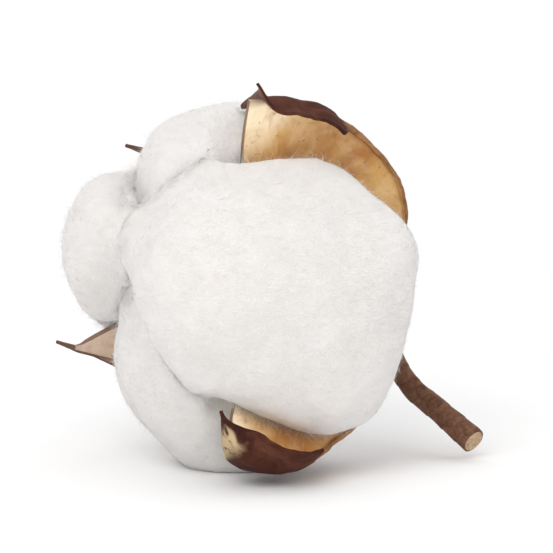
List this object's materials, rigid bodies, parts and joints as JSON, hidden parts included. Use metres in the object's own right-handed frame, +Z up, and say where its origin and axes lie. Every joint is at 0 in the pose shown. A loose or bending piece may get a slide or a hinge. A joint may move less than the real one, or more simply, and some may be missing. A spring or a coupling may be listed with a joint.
{
  "type": "cotton boll",
  "caption": "Open cotton boll as picked: lobed locks of white lint held in a dried brown burr of pointed boat-shaped valves, with a short cut stalk.",
  "frame": {"origin": "middle of the footprint, on the surface that the boll lies on", "axes": "+Z up, +X to the side of the stalk, +Y away from the viewer of the picture"},
  "size_m": [0.0624, 0.0546, 0.0572],
  "materials": {
    "husk": "dry, satin inside and matte dark brown outside",
    "lint": "soft matte cotton fibre",
    "bark": "matte, faintly banded"
  },
  "bodies": {
    "root": {"burr": "husk", "lint_lock_upper": "lint", "lint_lock_left": "lint", "lint_lock_bottom": "lint", "lint_lock_front": "lint", "stem": "bark"}
  },
  "joints": []
}
